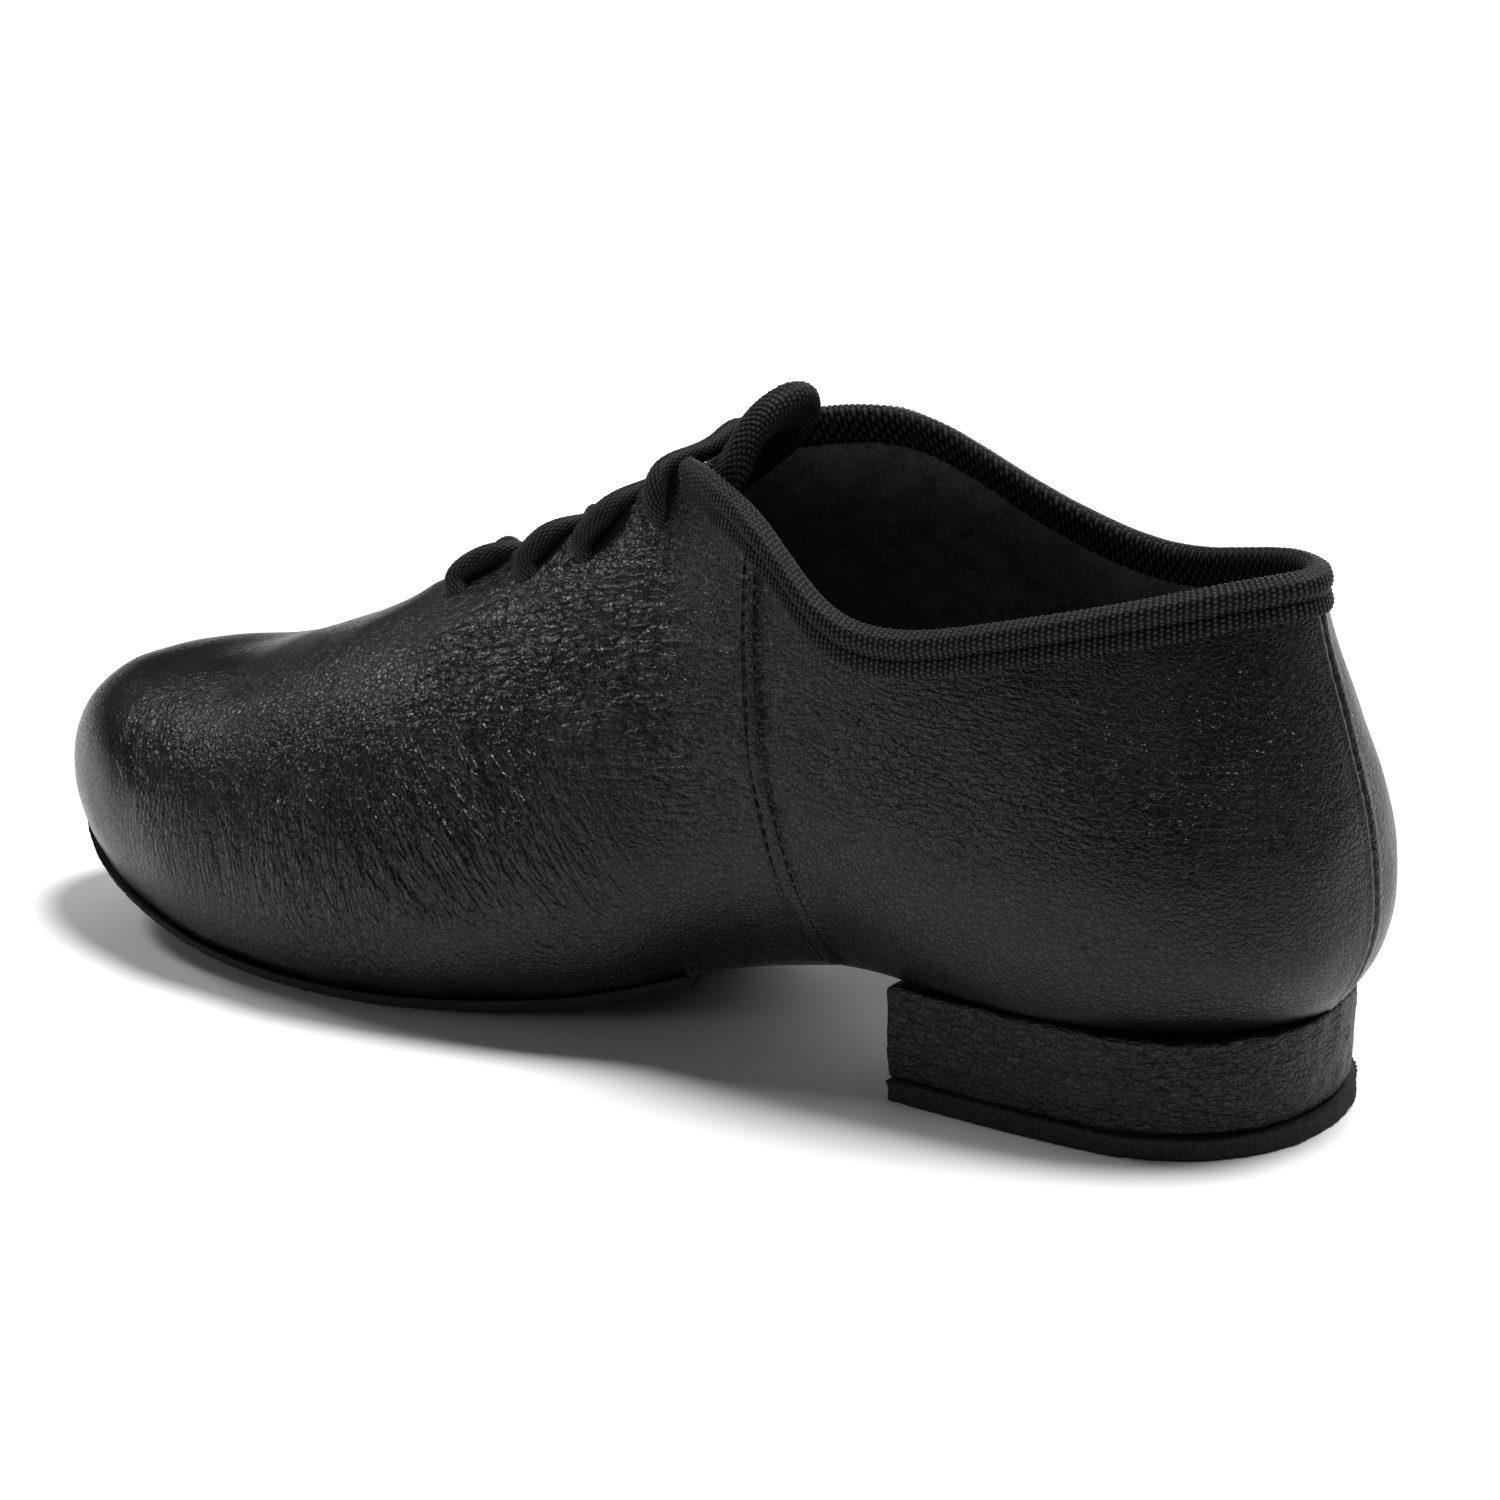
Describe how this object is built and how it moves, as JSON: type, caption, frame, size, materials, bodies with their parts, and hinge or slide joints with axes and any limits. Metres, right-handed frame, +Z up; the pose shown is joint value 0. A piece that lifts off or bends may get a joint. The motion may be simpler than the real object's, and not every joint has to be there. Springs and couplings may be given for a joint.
{
  "type": "jazz shoe",
  "caption": "Low lace-up jazz shoe for the right foot in black leather, with a split sole, a small stacked heel, criss-crossed laces and ribbed tape bindings.",
  "frame": {"origin": "middle of the heel's face on the floor", "axes": "+X along the foot towards the toe, +Y towards the inner side of the right foot, +Z up, floor at Z = 0"},
  "size_m": [0.2788, 0.102, 0.1197],
  "materials": {
    "upper": "soft full-grain black leather, semi-gloss, fine pebbled grain",
    "insole": "black lined board, matte",
    "forefoot_outsole": "black rough split leather, matte",
    "heel_block": "black leather cover, satin",
    "heel_top_lift": "black rubber, matte",
    "tongue": "soft black leather, satin",
    "collar_binding": "black ribbed tape",
    "tongue_binding": "black ribbed tape",
    "lace": "black round braided cord"
  },
  "bodies": {
    "root": {"upper": "upper", "insole": "insole", "forefoot_outsole": "forefoot_outsole", "heel_block": "heel_block", "heel_top_lift": "heel_top_lift", "tongue": "tongue", "collar_binding": "collar_binding", "tongue_binding": "tongue_binding", "lace": "lace"}
  },
  "joints": []
}
